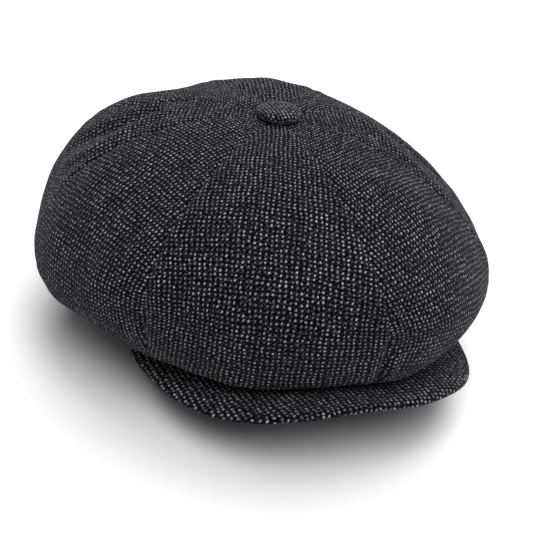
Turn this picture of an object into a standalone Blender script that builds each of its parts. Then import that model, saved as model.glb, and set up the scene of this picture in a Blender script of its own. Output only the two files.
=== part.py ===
"""Newsboy cap: eight cloth gores under a covered button, a lined crown, and a stiff cloth visor.

Metres, +Z up. The visor points to -Y. The origin is the centre of the head opening at the level
of the hem, and the cap lies on its hem and on the two sides of its visor.
"""

import math

import bmesh
import bpy
from mathutils import Matrix, Vector

# Head opening: an oval of 57.5 cm, measured at the inner face of the sweatband.
OPENING_HALF_WIDTH = 0.0843
OPENING_HALF_LENGTH = 0.0983
HEM_ARCH = 0.0083  # the hem rises by this much at the middle of the front
HEM_ARCH_POWER = 1.5

# Sheet thicknesses
CLOTH = 0.0016
VISOR_CLOTH = 0.0012
LINING = 0.0007
SWEATBAND = 0.0012
INTERLINING = 0.0008
BOARD = 0.0018
GAP = 0.0003  # between neighbouring sheets
HEM_EASE = 0.0008  # between the interlining and the turned hem of the crown

# Offsets outwards from the opening oval
SWEATBAND_OUTSIDE = SWEATBAND
INTERLINING_OUTSIDE = SWEATBAND_OUTSIDE + GAP + INTERLINING
HEM_OUTSIDE = INTERLINING_OUTSIDE + HEM_EASE + CLOTH

# Crown
CROWN_CENTRE_Y = 0.013
CROWN_HALF_WIDTH = 0.126
CROWN_FRONT = 0.165
CROWN_BACK = 0.105
RIM_FRONT_Z = 0.0606
RIM_SIDE_Z = 0.0371
RIM_BACK_Z = 0.0696
CROWN_LEAN = 0.0106  # the soft crown slumps by this much towards +X
APEX_Y = -0.010
APEX_Z = 0.119
DIMPLE_DEPTH = 0.0035  # the button pulls the middle of the crown down
DIMPLE_WIDTH = 0.030
PLAN_POWER = 1.9
TOP_POWER = 1.8
UNDERSIDE_POWER = 2.0
FRONT_TOP_POWER = 1.63
UNDERSIDE_SAG = 0.006
HEM_WALL = 0.0095
PUFF = 0.0018  # each gore stands this much prouder than its seams
BUTTON_HOLE = 0.0025
SEAM_MARGIN = 0.6 * GAP  # left open at each side of a seam
FIRST_TURN = 0.01

# Seams, in degrees round from the middle of the front
SEAMS = (0.0, 54.0, 95.0, 137.0, 180.0)
GORE_NAMES = ("front", "front_side", "back_side", "back")

# Lining, smaller than the crown
LINING_EASE_SIDE = 0.012
LINING_EASE_FRONT = 0.014
LINING_EASE_BACK = 0.007
LINING_EASE_TOP = 0.009
LINING_RIM_LIFT = 0.006
LINING_END_LIFT = 0.0015  # above the top of the sweatband

# Bands inside the hem
SWEATBAND_HEIGHT = 0.032
INTERLINING_HEIGHT = 0.026
BAND_FOOT = 0.001
BACK_JOIN = 0.4  # degrees left open each side of the join at the back
BAND_CELLS = (1, 64)

# Visor
VISOR_SWEEP = 70.0
VISOR_EDGE_SWEEP = 80.0
VISOR_HALF_WIDTH = 0.0905
VISOR_BACK_Y = -0.021
VISOR_FRONT_Y = -0.1534
VISOR_POWER = 2.6
VISOR_RISE = 0.0206
VISOR_EDGE_Z = 0.0027
VISOR_ROOT_Z = 0.0032
VISOR_ROOT_GAP = 0.0012
VISOR_CROWN = 0.0006
VISOR_CURL = 82.0
VISOR_FLAT_PART = 0.7  # the rest of the top cloth goes into the curl
BOARD_SWEEP = 0.985  # the board stops short of the corners of its cloth
BOARD_START = 0.02  # and starts a little outside the root
FRAME_STEP = 0.01
VISOR_LAYER = BOARD / 2 + GAP + VISOR_CLOTH / 2
HINGE = (0.0, -0.035, 0.0035)  # through the two ends of the visor's root

# Button
BUTTON_Z = APEX_Z - DIMPLE_DEPTH
BUTTON_RADIUS = 0.0120
BUTTON_HEIGHT = 0.0058
BUTTON_SIDE = 0.0024  # height of its straight side
BUTTON_POWER = 2.6
BUTTON_FOOT_CURL = 0.0005
BUTTON_CLOTH = 0.001
BUTTON_STEEL = 0.0006
BUTTON_LIP = 0.0036
BUTTON_SEAT = 0.0004
POST_RADIUS = 0.0015
TACK_FLANGE = 0.0013
TACK_TAPER = 0.0003
POST_PLAY = 0.0001
WASHER_RADIUS = 0.006
WASHER_TOP = -0.0022
TURNS = 24

TWEED = ("tweed", (0.045, 0.047, 0.056), 0.95, 0.0)
SATIN = ("lining_satin", (0.020, 0.021, 0.025), 0.45, 0.0)
BAND_COTTON = ("sweatband_cotton", (0.016, 0.016, 0.018), 0.9, 0.0)
FUSING = ("interlining_fusing", (0.55, 0.54, 0.50), 0.9, 0.0)
STIFFENER = ("visor_board", (0.75, 0.74, 0.70), 0.6, 0.0)
STEEL = ("button_steel", (0.62, 0.63, 0.65), 0.35, 1.0)


def clear_scene():
    for obj in list(bpy.data.objects):
        bpy.data.objects.remove(obj)


def material(spec):
    name, colour, roughness, metallic = spec
    found = bpy.data.materials.get(name)
    if found:
        return found
    made = bpy.data.materials.new(name)
    made.use_nodes = True
    shader = made.node_tree.nodes["Principled BSDF"]
    shader.inputs["Base Color"].default_value = (*colour, 1.0)
    shader.inputs["Roughness"].default_value = roughness
    shader.inputs["Metallic"].default_value = metallic
    made.diffuse_color = (*colour, 1.0)
    return made


def add_object(name, mesh, spec, collection):
    mesh.materials.append(material(spec))
    obj = bpy.data.objects.new(name, mesh)
    collection.objects.link(obj)
    return obj


def add_sheet(name, shape, cells, thickness, spec, collection, side=-1.0):
    """A grid bent to shape(along, across), both 0 to 1, and thickened.

    Its front faces the way along x across. side -1 thickens it behind its front, 0 both ways.
    """
    mesh = bpy.data.meshes.new(name)
    grid = bmesh.new()
    bmesh.ops.create_grid(grid, x_segments=cells[0], y_segments=cells[1], size=0.5)
    for vertex in grid.verts:
        vertex.co = shape(vertex.co.x + 0.5, vertex.co.y + 0.5)
    grid.to_mesh(mesh)
    grid.free()
    mesh.shade_smooth()
    obj = add_object(name, mesh, spec, collection)
    solidify = obj.modifiers.new("thickness", "SOLIDIFY")
    solidify.thickness = thickness
    solidify.offset = side
    solidify.use_even_offset = True
    solidify.use_quality_normals = True
    return obj


def add_turned(name, profile, closed, spec, collection):
    """A profile of (radius, height) turned about the button's own axis."""
    mesh = bpy.data.meshes.new(name)
    count = len(profile)
    edges = [(i, (i + 1) % count) for i in range(count if closed else count - 1)]
    mesh.from_pydata([(radius, 0.0, height) for radius, height in profile], edges, [])
    obj = add_object(name, mesh, spec, collection)
    obj.location = (0.0, APEX_Y, BUTTON_Z)
    screw = obj.modifiers.new("turn", "SCREW")
    screw.axis = "Z"
    screw.angle = math.tau
    screw.steps = TURNS
    screw.render_steps = TURNS
    screw.use_merge_vertices = True
    screw.merge_threshold = 0.00001
    screw.use_smooth_shade = True
    return obj


def front_weight(angle):
    return max(math.cos(angle), 0.0)


def back_weight(angle):
    return max(-math.cos(angle), 0.0)


def hem_height(angle):
    return HEM_ARCH * front_weight(angle) ** HEM_ARCH_POWER


def oval(angle, offset, height):
    """A point on the head opening's oval, moved outwards; angle 0 is the front, 90 degrees +X."""
    across = (OPENING_HALF_WIDTH + offset) * math.sin(angle)
    along = -(OPENING_HALF_LENGTH + offset) * math.cos(angle)
    return Vector((across, along, height))


def rounded(turn, power):
    """Sine and cosine of a superellipse quarter, for turn 0 to 1."""
    sine = max(math.sin(turn * math.pi / 2), 0.0) ** (2 / power)
    cosine = max(math.cos(turn * math.pi / 2), 0.0) ** (2 / power)
    return sine, cosine


CROWN_FORM = {
    "half_width": CROWN_HALF_WIDTH,
    "front": CROWN_FRONT,
    "back": CROWN_BACK,
    "rim_lift": 0.0,
    "apex_z": APEX_Z,
    "end_offset": HEM_OUTSIDE,
    "end_height": HEM_WALL,
    "sag": UNDERSIDE_SAG,
    "puff": PUFF,
}
LINING_FORM = {
    "half_width": CROWN_HALF_WIDTH - LINING_EASE_SIDE,
    "front": CROWN_FRONT - LINING_EASE_FRONT,
    "back": CROWN_BACK - LINING_EASE_BACK,
    "rim_lift": LINING_RIM_LIFT,
    "apex_z": APEX_Z - LINING_EASE_TOP,
    "end_offset": SWEATBAND / 2,
    "end_height": SWEATBAND_HEIGHT + LINING_END_LIFT,
    "sag": 0.0,
    "puff": 0.0,
}


def dimple(point):
    """How far the button pulls a point of the crown down."""
    radius = math.hypot(point.x, point.y - APEX_Y)
    return DIMPLE_DEPTH * math.exp(-((radius / DIMPLE_WIDTH) ** 2))


def rim_point(form, angle, swell):
    """The widest point of a dome at this angle."""
    sine, cosine = math.sin(angle), math.cos(angle)
    power = PLAN_POWER
    reach = (abs(sine) ** power + abs(cosine) ** power) ** (-1 / power)
    length = form["front"] if cosine > 0 else form["back"]
    height = RIM_SIDE_Z + (RIM_FRONT_Z - RIM_SIDE_Z) * front_weight(angle) ** 2
    height += (RIM_BACK_Z - RIM_SIDE_Z) * back_weight(angle) ** 2
    height += form["rim_lift"] - CROWN_LEAN * sine
    across = (form["half_width"] + swell) * sine * reach
    along = CROWN_CENTRE_Y - (length + swell) * cosine * reach
    return Vector((across, along, height))


def dome_point(form, angle, turn, share):
    """A point of a dome: turn 0 is the apex, 1 the rim and 2 the inner end of the underside.

    share is 0 to 1 across a gore, between its seams.
    """
    bulge = 1 - (2 * share - 1) ** 2
    swell = form["puff"] * bulge * math.sin(min(turn, 2.0) * math.pi / 2)
    rim = rim_point(form, angle, swell)
    if turn <= 1:
        power = TOP_POWER + (FRONT_TOP_POWER - TOP_POWER) * front_weight(angle) ** 2
        out, up = rounded(turn, power)
        apex = Vector((0.0, APEX_Y, form["apex_z"]))
        point = apex.lerp(rim, out)
        point.z = rim.z + (form["apex_z"] - rim.z) * up - dimple(point)
        return point
    down, out = rounded(min(turn - 1, 1.0), UNDERSIDE_POWER)
    foot = oval(angle, form["end_offset"], hem_height(angle) + form["end_height"])
    point = foot.lerp(rim, out)
    side = (1 - front_weight(angle)) ** 2
    sag = form["sag"] * side * math.sin(math.pi * min(turn - 1, 1.0))
    point.z = rim.z - (rim.z - foot.z) * down - sag
    return point


def first_turn(form, angle):
    """The turn at which a gore leaves room for the button's post."""
    rim = rim_point(form, angle, 0.0)
    reach = math.hypot(rim.x, rim.y - APEX_Y)
    power = TOP_POWER + (FRONT_TOP_POWER - TOP_POWER) * front_weight(angle) ** 2
    return math.asin((BUTTON_HOLE / reach) ** (power / 2)) * 2 / math.pi


def gore_angle(form, left_seam, right_seam, share, turn):
    """The angle at a share of a gore, with half a seam's gap left open on each side."""
    middle = (left_seam + right_seam) / 2
    point = dome_point(form, middle, turn, 0.0)
    radius = math.hypot(point.x, point.y - APEX_Y)
    margin = SEAM_MARGIN / radius
    return left_seam + margin + (right_seam - left_seam - 2 * margin) * share


def crown_gore(left_seam, right_seam):
    top_rows, under_rows = 10, 6
    rows = top_rows + under_rows + 1

    def shape(along, across):
        row = round(along * rows)
        if row <= top_rows:
            turn = row / top_rows
        else:
            turn = 1 + min((row - top_rows) / under_rows, 1.0)
        if row == 0:
            turn = first_turn(CROWN_FORM, (left_seam + right_seam) / 2)
        angle = gore_angle(CROWN_FORM, left_seam, right_seam, across, max(turn, FIRST_TURN))
        point = dome_point(CROWN_FORM, angle, turn, across)
        if row == rows:
            point = oval(angle, HEM_OUTSIDE, hem_height(angle))
        return point

    return shape, (rows, 8)


def lining_gore(left_seam, right_seam):
    top_rows, under_rows = 8, 3
    rows = top_rows + under_rows

    def shape(along, across):
        row = round(along * rows)
        turn = row / top_rows if row <= top_rows else 1 + (row - top_rows) / under_rows
        if row == 0:
            turn = first_turn(LINING_FORM, (left_seam + right_seam) / 2)
        angle = gore_angle(LINING_FORM, left_seam, right_seam, across, max(turn, FIRST_TURN))
        return dome_point(LINING_FORM, angle, turn, across)

    return shape, (rows, 5)


def add_gores(prefix, gore, thickness, spec, collection):
    for i, place in enumerate(GORE_NAMES):
        near, far = math.radians(SEAMS[i]), math.radians(SEAMS[i + 1])
        for hand, left_seam, right_seam in (("left", near, far), ("right", -far, -near)):
            shape, cells = gore(left_seam, right_seam)
            name = f"{prefix}_{place}_{hand}"
            add_sheet(name, shape, cells, thickness, spec, collection)


def add_band(name, outside, height, thickness, foot, spec, collection):
    """A strip stood on edge round the opening, joined at the middle of the back."""
    start, sweep = math.radians(-180 + BACK_JOIN), math.radians(360 - 2 * BACK_JOIN)

    def shape(along, across):
        angle = start + sweep * across
        low = hem_height(angle) + foot
        return oval(angle, outside, low + (height - foot) * (1 - along))

    add_sheet(name, shape, BAND_CELLS, thickness, spec, collection)


def visor_root(share):
    angle = math.radians(VISOR_SWEEP) * share
    return oval(angle, HEM_OUTSIDE + VISOR_ROOT_GAP, hem_height(angle) + VISOR_ROOT_Z)


def visor_edge(share):
    turn = math.radians(VISOR_EDGE_SWEEP) * share
    sine, cosine = math.sin(turn), math.cos(turn)
    reach = (abs(sine) ** VISOR_POWER + cosine**VISOR_POWER) ** (-1 / VISOR_POWER)
    across = VISOR_HALF_WIDTH * sine * reach
    along = VISOR_BACK_Y + (VISOR_FRONT_Y - VISOR_BACK_Y) * cosine * reach
    height = VISOR_EDGE_Z + VISOR_RISE * (1 - (across / VISOR_HALF_WIDTH) ** 2)
    return Vector((across, along, height))


def visor_middle(share, depth):
    """The middle surface of the visor: share -1 to 1 from side to side, depth 0 root to 1 edge."""
    point = visor_root(share).lerp(visor_edge(share), depth)
    point.z += VISOR_CROWN * 4 * depth * (1 - depth) * (1 - share**2)
    return point


def visor_frame(share, depth):
    """Point of the middle surface, direction out of its edge, and upward normal."""
    step = FRAME_STEP
    inner = max(-1 + step, min(share, 1 - step))
    near, far = max(depth - step, 0.0), min(depth + step, 1.0)
    slope = visor_middle(inner, far) - visor_middle(inner, near)
    sideways = visor_middle(inner + step, depth) - visor_middle(inner - step, depth)
    up = sideways.cross(slope).normalized()
    if up.z < 0:
        up.negate()
    edge = visor_edge(inner + step) - visor_edge(inner - step)
    outwards = edge.cross(up).normalized()
    return visor_middle(share, depth), outwards, up


def visor_top(along, across):
    """Cloth over the board, curled down over its outer edge."""
    share = 2 * across - 1
    point, outwards, up = visor_frame(share, min(along / VISOR_FLAT_PART, 1.0))
    curl = math.radians(VISOR_CURL) * max((along - VISOR_FLAT_PART) / (1 - VISOR_FLAT_PART), 0.0)
    return point + up * (VISOR_LAYER * math.cos(curl)) + outwards * (VISOR_LAYER * math.sin(curl))


def visor_under(along, across):
    share = 2 * across - 1
    point, outwards, up = visor_frame(share, along)
    lip = VISOR_LAYER if along > 1 - FRAME_STEP else 0.0
    return point - up * VISOR_LAYER + outwards * lip


def visor_board(along, across):
    share = max(-BOARD_SWEEP, min(2 * across - 1, BOARD_SWEEP))
    return visor_middle(share, BOARD_START + (1 - BOARD_START) * along)


def add_visor(collection):
    hinge = bpy.data.objects.new("visor_hinge", None)
    hinge.location = HINGE
    collection.objects.link(hinge)
    pieces = [
        add_sheet("visor_top_cloth", visor_top, (10, 24), VISOR_CLOTH, TWEED, collection, 0.0),
        add_sheet("visor_board", visor_board, (4, 24), BOARD, STIFFENER, collection, 0.0),
        add_sheet("visor_under_cloth", visor_under, (5, 24), VISOR_CLOTH, TWEED, collection, 0.0),
    ]
    for piece in pieces:
        piece.parent = hinge
        piece.matrix_parent_inverse = Matrix.Translation(HINGE).inverted()


def dome_profile(radius, foot, top, points):
    """Points of a low dome, from its middle at the top down to its side."""
    profile = []
    for i in range(points):
        down, up = rounded(i / (points - 1), BUTTON_POWER)
        profile.append((radius * down, foot + (top - foot) * up))
    return profile


def add_button(collection):
    seat = BUTTON_SEAT
    inner = BUTTON_RADIUS - BUTTON_CLOTH
    cover = dome_profile(BUTTON_RADIUS, seat + BUTTON_SIDE, seat + BUTTON_HEIGHT, 8)
    cover += [
        (BUTTON_RADIUS - BUTTON_FOOT_CURL, seat + BUTTON_FOOT_CURL / 2),
        (BUTTON_RADIUS - 2 * BUTTON_FOOT_CURL, seat),
        (BUTTON_RADIUS - BUTTON_LIP, seat),
        (BUTTON_RADIUS - BUTTON_LIP, seat + BUTTON_CLOTH),
        (inner, seat + BUTTON_CLOTH),
    ]
    cover += dome_profile(inner, seat + BUTTON_SIDE, seat + BUTTON_HEIGHT - BUTTON_CLOTH, 8)[::-1]
    add_turned("button_cover", cover, False, TWEED, collection)

    shell_radius = inner - GAP
    shell_foot = seat + BUTTON_CLOTH + GAP
    shell_top = seat + BUTTON_HEIGHT - BUTTON_CLOTH - GAP
    shell = dome_profile(shell_radius, seat + BUTTON_SIDE, shell_top, 7)
    shell += [(shell_radius, shell_foot), (shell_radius - BUTTON_STEEL, shell_foot)]
    hollow = dome_profile(shell_radius - BUTTON_STEEL, seat + BUTTON_SIDE, shell_top - BUTTON_STEEL, 7)
    shell += hollow[::-1]
    add_turned("button_shell", shell, False, STEEL, collection)

    plate_radius = shell_radius - BUTTON_STEEL - GAP
    head_top = WASHER_TOP - BUTTON_STEEL - GAP
    tack = [
        (0.0, shell_foot + BUTTON_STEEL),
        (plate_radius, shell_foot + BUTTON_STEEL),
        (plate_radius, shell_foot),
        (POST_RADIUS, shell_foot),
        (POST_RADIUS, head_top),
        (POST_RADIUS + TACK_FLANGE, head_top),
        (POST_RADIUS + TACK_FLANGE - TACK_TAPER, head_top - BUTTON_STEEL),
        (0.0, head_top - BUTTON_STEEL),
    ]
    add_turned("button_tack", tack, False, STEEL, collection)

    hole = POST_RADIUS + GAP + POST_PLAY
    washer = [
        (WASHER_RADIUS, WASHER_TOP),
        (WASHER_RADIUS, WASHER_TOP - BUTTON_STEEL),
        (hole, WASHER_TOP - BUTTON_STEEL),
        (hole, WASHER_TOP),
    ]
    add_turned("button_washer", washer, True, STEEL, collection)


def main():
    clear_scene()
    cap = bpy.data.collections.new("newsboy_cap")
    bpy.context.scene.collection.children.link(cap)
    add_gores("crown_gore", crown_gore, CLOTH, TWEED, cap)
    add_gores("lining_gore", lining_gore, LINING, SATIN, cap)
    add_band("sweatband", SWEATBAND_OUTSIDE, SWEATBAND_HEIGHT, SWEATBAND, 0.0, BAND_COTTON, cap)
    add_band(
        "band_interlining", INTERLINING_OUTSIDE, INTERLINING_HEIGHT, INTERLINING, BAND_FOOT,
        FUSING, cap,
    )
    add_visor(cap)
    add_button(cap)


main()
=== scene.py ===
"""The looks of the newsboy cap: tweed gores, a covered button, a cloth visor, a lining and a sweatband.

Each cloth piece is a fine grid over the same surface as its CAD solid, in the same frame: metres,
+Z up, the visor towards -Y. Every grid carries a UV layer in metres of flat cloth, so that the weave
runs the way the cloth was cut.
"""

import math

import bpy
import numpy as np
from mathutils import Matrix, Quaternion, Vector
from mathutils.kdtree import KDTree


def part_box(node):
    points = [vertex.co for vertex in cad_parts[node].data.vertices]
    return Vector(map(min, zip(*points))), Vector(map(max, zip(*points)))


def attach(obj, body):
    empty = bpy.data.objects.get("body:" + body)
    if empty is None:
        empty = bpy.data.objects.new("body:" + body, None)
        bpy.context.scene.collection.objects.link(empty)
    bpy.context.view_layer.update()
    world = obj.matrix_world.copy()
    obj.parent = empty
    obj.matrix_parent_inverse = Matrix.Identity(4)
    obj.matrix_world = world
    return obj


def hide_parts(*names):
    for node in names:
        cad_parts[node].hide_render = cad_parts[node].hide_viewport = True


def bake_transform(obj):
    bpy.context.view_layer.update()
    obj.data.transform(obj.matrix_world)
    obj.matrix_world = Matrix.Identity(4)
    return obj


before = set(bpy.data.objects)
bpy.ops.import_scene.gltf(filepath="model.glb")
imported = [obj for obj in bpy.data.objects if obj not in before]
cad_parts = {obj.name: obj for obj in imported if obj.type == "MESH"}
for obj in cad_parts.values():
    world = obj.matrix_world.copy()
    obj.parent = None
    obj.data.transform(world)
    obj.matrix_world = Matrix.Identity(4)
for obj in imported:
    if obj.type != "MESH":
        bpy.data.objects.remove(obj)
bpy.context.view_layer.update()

# Head opening and its bands
SWEATBAND = 0.0012
SWEATBAND_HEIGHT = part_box("sweatband")[1].z
OPENING_HALF_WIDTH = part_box("sweatband")[1].x - SWEATBAND
OPENING_HALF_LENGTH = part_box("sweatband")[1].y - SWEATBAND
HEM_ARCH = 0.0083
HEM_OUTSIDE = 0.0047
HEM_WALL = 0.0095
HEM_ROLL = 0.0012
HEM_TURNED_IN = 0.008
INTERLINING_OUTSIDE = 0.0023
INTERLINING_INSET = 0.0002
INTERLINING = 0.0006
INTERLINING_LOW = 0.001
INTERLINING_HEIGHT = 0.026
BAND_CUT = 0.004  # radians left open on each side of the join at the back
SWEATBAND_BELLY = 0.0009
SWEATBAND_STITCHED_ROWS = (("sweatband_upper_stitches", 2), ("sweatband_lower_stitches", 21))

# Crown, as in the CAD model
CROWN_CENTRE_Y = 0.013
RIM_FRONT_Z = 0.0606
RIM_SIDE_Z = 0.0371
RIM_BACK_Z = 0.0696
CROWN_LEAN = 0.0106
APEX_Y = -0.010
APEX_Z = 0.119
DIMPLE_DEPTH = 0.0035
DIMPLE_WIDTH = 0.030
PLAN_POWER = 1.9
TOP_POWER = 1.8
FRONT_TOP_POWER = 1.63
FIRST_ROW_RADIUS = 0.0025

CROWN_FORM = {
    "half_width": 0.126, "front": 0.165, "back": 0.105, "rim_lift": 0.0, "apex_z": APEX_Z,
    "end_offset": HEM_OUTSIDE, "end_height": HEM_WALL, "sag": 0.006,
}
LINING_FORM = {
    "half_width": 0.114, "front": 0.151, "back": 0.098, "rim_lift": 0.006, "apex_z": APEX_Z - 0.009,
    "end_offset": SWEATBAND / 2, "end_height": SWEATBAND_HEIGHT + 0.0015, "sag": 0.0,
}

# Gores: name, seam angles in degrees round from the front, and how far the cloth puffs out
GORES = (
    ("front", 0.0, 54.0, 0.0011),
    ("front_side", 54.0, 95.0, 0.0012),
    ("back_side", 95.0, 137.0, 0.0008),
    ("back", 137.0, 180.0, 0.0008),
)

CLOTH = 0.0010
VISOR_CLOTH = 0.0010
LINING = 0.0005
BOARD = 0.0018

# Seams of the crown
SEAM_GROOVES = {0.0: 0.00030, 54.0: 0.00035, 95.0: 0.00060, 137.0: 0.00045, 180.0: 0.00080}
SEAM_GROOVE_WIDTH = 0.0010
SEAM_RIDGE = 0.00035
SEAM_RIDGE_PLACE = 0.0042
SEAM_RIDGE_WIDTH = 0.0026
SEAM_LAP = 0.00002  # neighbouring gores lap by twice this, so no light passes between them
LINING_PUFF = 0.4  # of the puff of the gore outside it

# The cloth's fine unevenness, in layers: height, wavelength and seed
CROWN_UNEVENNESS = ((0.0006, 0.075, 3), (0.00018, 0.026, 5))
LINING_UNEVENNESS = ((0.0010, 0.045, 21), (0.0004, 0.016, 22))

# Slack waves round the crown's underside, and the hollow ring round the button
WAVES = 9
WAVE_HEIGHT = 0.0007
WAVE_NOISE = 0.09
BUTTON_RING_DEPTH = 0.0011
BUTTON_RING_RADIUS = 0.0135
BUTTON_RING_WIDTH = 0.007

# Where the crown rests on the visor
REST_GAP = 0.0052
REST_REACH = 0.0025
REST_NEIGHBOURS = 6
REST_SWEEP = 80.0  # degrees from the front within which a gore can meet the visor

# Visor
VISOR_SWEEP = 70.0
VISOR_EDGE_SWEEP = 80.0
VISOR_HALF_WIDTH = 0.0905
VISOR_BACK_Y = -0.021
VISOR_FRONT_Y = -0.1534
VISOR_POWER = 2.6
VISOR_RISE = 0.0206
VISOR_EDGE_Z = 0.0027
VISOR_ROOT_Z = 0.0032
VISOR_ROOT_GAP = 0.0012
VISOR_CROWN = 0.0006
VISOR_LAYER = 0.0018
VISOR_CURL = 118.0  # degrees that the top cloth turns round the edge
VISOR_LIP = 0.0006
BOARD_SIDE = 0.985
BOARD_START = 0.02

# Where the worn visor droops: depth, place from -1 to 1 across it, and spread
VISOR_DROOP = ((0.0034, 0.62, 0.26), (0.0037, 0.14, 0.21), (0.0026, -0.68, 0.30))

# Button
BUTTON_POWER = 2.8
BUTTON_SHOULDER = 0.0024
BUTTON_CURL = 0.0018
BUTTON_CURL_DROP = 0.0031
BUTTON_FOOT = ((0.0026, 0.0007), (0.0036, 0.0006))  # how far inside the rim and below the base
BUTTON_CLOTH = 0.0008
BUTTON_PLEATS = 17
BUTTON_PLEAT_DEPTH = 0.00022
BUTTON_LUMP = 0.00025
BUTTON_WEAVE_PITCH = 0.0021

# The floor, far enough down for the flexed visor to stay clear of it
FLOOR_Z = -0.018
FLOOR_HALF = 12.0

# Soft lights: name, direction towards the light, strength, spread in degrees and colour
SUNS = (
    ("overhead_softbox", (0.42, 0.42, 1.0), 2.75, 60.0, (1.0, 0.99, 0.98)),
    ("front_softbox", (-0.10, -0.55, 1.0), 2.5, 50.0, (0.97, 0.98, 1.0)),
)
SKY_COLOUR = (0.93, 0.96, 1.0, 1.0)
SKY_STRENGTH = 0.18

# Camera
CAMERA_PIVOT = Vector((0.0, 0.0, 0.065))
CAMERA_AZIMUTH = -25.89
CAMERA_ELEVATION = 25.75
CAMERA_DISTANCE = 0.7519
CAMERA_AIM = Vector((-0.0031, -0.0186, 0.0275))
CAMERA_ROLL = 5.3
CAMERA_LENS = 89.56

# Weave, and how it draws closer between two distances from the button
WEAVE_PITCH = 0.0027
WEAVE_GATHER = 0.22
GATHER_INNER = 0.010
GATHER_OUTER = 0.105
WEAVE_PHASE = 0.00037  # metres of weave per degree, so that neighbouring gores don't match
DARK_WOOL = (0.0006, 0.0007, 0.0010, 1)
GREY_WOOL = (0.044, 0.046, 0.054, 1)
PALE_WOOL = (0.29, 0.30, 0.325)
PALEST_WOOL = (0.36, 0.365, 0.38)
RIB_PITCH = 0.0011
PICK_PITCH = 0.00045

# Loose wool and thread
FUZZ = {"length": 0.0022, "lift": 0.0005, "radius": 0.00003}
LINT = {"length": 0.0042, "lift": 0.0003, "radius": 0.00006}
FIBRE_STEPS = 7
FIBRE_BEND = 0.5
FIBRE_WANDER = 0.25
FIBRE_SINK = 0.00005
FIBRE_FLOAT = 0.0001
TUBE_CORNERS = (0.0, 2.1, 4.2)
STITCH_PITCH = 0.0030
STITCH_THICKNESS = 0.00022
STITCH_SPAN = (0.12, 0.88)
STITCH_POINTS = 7

# Rows and columns of the grids
CROWN_TOP_ROWS, CROWN_UNDER_ROWS, CROWN_COLUMNS = 116, 64, 85
HEM_WALL_ROWS, HEM_ROLL_ROWS, HEM_TURNED_ROWS = 7, 8, 4
LINING_TOP_ROWS, LINING_UNDER_ROWS, LINING_COLUMNS = 60, 20, 37
SWEATBAND_ROWS, INTERLINING_ROWS, BAND_COLUMNS = 24, 8, 420
VISOR_TOP_ROWS, VISOR_CURL_ROWS, VISOR_UNDER_ROWS, VISOR_COLUMNS = 62, 12, 44, 171
BOARD_ROWS, BOARD_COLUMNS = 24, 121
BUTTON_TOP_ROWS, BUTTON_CURL_ROWS, BUTTON_COLUMNS = 29, 8, 144
SKIN_ROWS = 150  # rows of a crown gore's grid that show from outside


# ---------------------------------------------------------------- surfaces

def front_weight(angle):
    return np.maximum(np.cos(angle), 0.0)


def back_weight(angle):
    return np.maximum(-np.cos(angle), 0.0)


def hem_height(angle):
    return HEM_ARCH * front_weight(angle) ** 1.5


def points_of(x, y, z):
    return np.stack(np.broadcast_arrays(x, y, z), axis=-1).astype(float)


def oval(angle, offset, height):
    """Points on the head opening's oval, moved outwards; angle 0 is the front, a quarter turn +X."""
    across = (OPENING_HALF_WIDTH + offset) * np.sin(angle)
    along = -(OPENING_HALF_LENGTH + offset) * np.cos(angle)
    return points_of(across, along, height)


def rounded(turn, power):
    """Sine and cosine of a superellipse quarter, for turn 0 to 1."""
    sine = np.maximum(np.sin(turn * math.pi / 2), 0.0) ** (2 / power)
    cosine = np.maximum(np.cos(turn * math.pi / 2), 0.0) ** (2 / power)
    return sine, cosine


def lerp(a, b, share):
    return a + (b - a) * np.asarray(share)[..., None]


def smoothstep(low, high, value):
    t = np.clip((value - low) / (high - low), 0.0, 1.0)
    return t * t * (3 - 2 * t)


def rim_points(form, angle):
    """The widest points of a dome."""
    sine, cosine = np.sin(angle), np.cos(angle)
    reach = (np.abs(sine) ** PLAN_POWER + np.abs(cosine) ** PLAN_POWER) ** (-1 / PLAN_POWER)
    length = np.where(cosine > 0, form["front"], form["back"])
    height = RIM_SIDE_Z + (RIM_FRONT_Z - RIM_SIDE_Z) * front_weight(angle) ** 2
    height = height + (RIM_BACK_Z - RIM_SIDE_Z) * back_weight(angle) ** 2
    height = height + form["rim_lift"] - CROWN_LEAN * sine
    return points_of(
        form["half_width"] * sine * reach, CROWN_CENTRE_Y - length * cosine * reach, height
    )


def dome_points(form, angle, turn):
    """Points of a dome: turn 0 is the apex, 1 the rim and 2 the inner end of the underside."""
    rim = rim_points(form, angle)
    apex = points_of(0.0 * angle, APEX_Y, form["apex_z"])
    power = TOP_POWER + (FRONT_TOP_POWER - TOP_POWER) * front_weight(angle) ** 2
    out, up = rounded(np.minimum(turn, 1.0), power)
    top = lerp(apex, rim, out)
    radius = np.hypot(top[..., 0], top[..., 1] - APEX_Y)
    dimple = DIMPLE_DEPTH * np.exp(-((radius / DIMPLE_WIDTH) ** 2))
    top[..., 2] = rim[..., 2] + (form["apex_z"] - rim[..., 2]) * up - dimple

    below = np.clip(turn - 1, 0.0, 1.0)
    down, out = rounded(below, 2.0)
    foot = oval(angle, form["end_offset"], hem_height(angle) + form["end_height"])
    under = lerp(foot, rim, out)
    sag = form["sag"] * (1 - front_weight(angle)) ** 2 * np.sin(math.pi * below)
    under[..., 2] = rim[..., 2] - (rim[..., 2] - foot[..., 2]) * down - sag
    return np.where((turn <= 1)[..., None], top, under)


def even_turns(form, angle, start, end, count):
    """Turns from start to end at even steps along the dome's own line at one angle."""
    fine = np.linspace(start, end, 600)
    line = dome_points(form, np.full_like(fine, angle), fine)
    steps = np.linalg.norm(np.diff(line, axis=0), axis=1)
    length = np.concatenate([[0.0], np.cumsum(steps)])
    return np.interp(np.linspace(0.0, length[-1], count), length, fine)


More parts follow.
